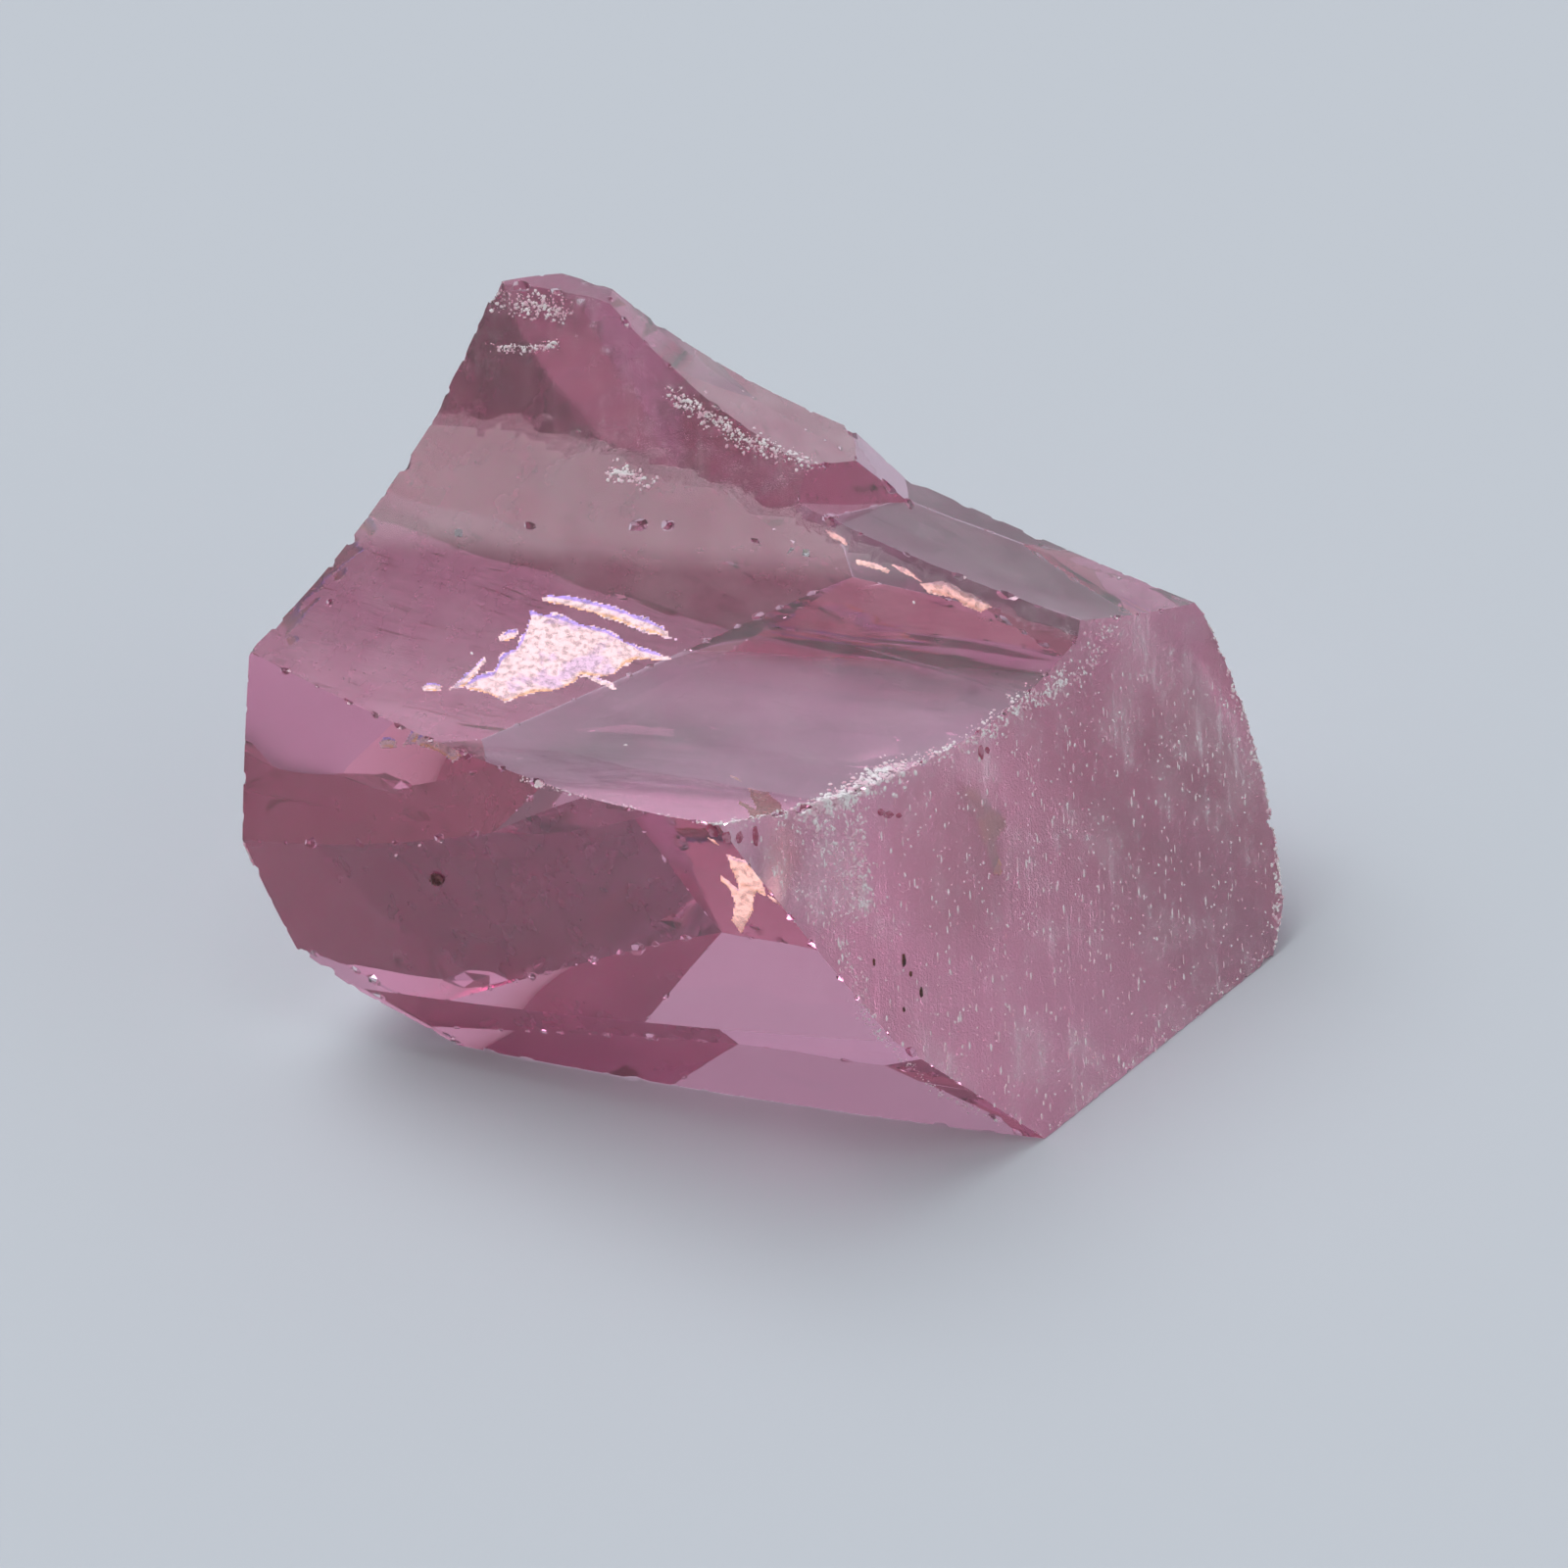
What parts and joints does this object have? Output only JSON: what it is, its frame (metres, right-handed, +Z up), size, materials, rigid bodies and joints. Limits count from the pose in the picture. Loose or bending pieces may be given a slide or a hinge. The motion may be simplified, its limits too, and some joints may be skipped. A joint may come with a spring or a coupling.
{
  "type": "rough sapphire crystal",
  "caption": "Uncut pink sapphire: an angular broken chunk with glassy conchoidal faces, one frosted sawn face, a raised horn at the back and a flat base.",
  "frame": {"origin": "under the middle of the stone's bounding box, on the flat base that it lies on", "axes": "+Z up; +X along the longest extent, from the pointed left tip to the sawn end; -Y is the side with the tall front face"},
  "size_m": [0.0202, 0.015, 0.0115],
  "materials": {
    "sapphire": "transparent pink corundum: glassy broken faces, a frosted saw-marked right face and crushed white crumbs along the sharp edges"
  },
  "bodies": {
    "root": {"sapphire": "sapphire"}
  },
  "joints": []
}
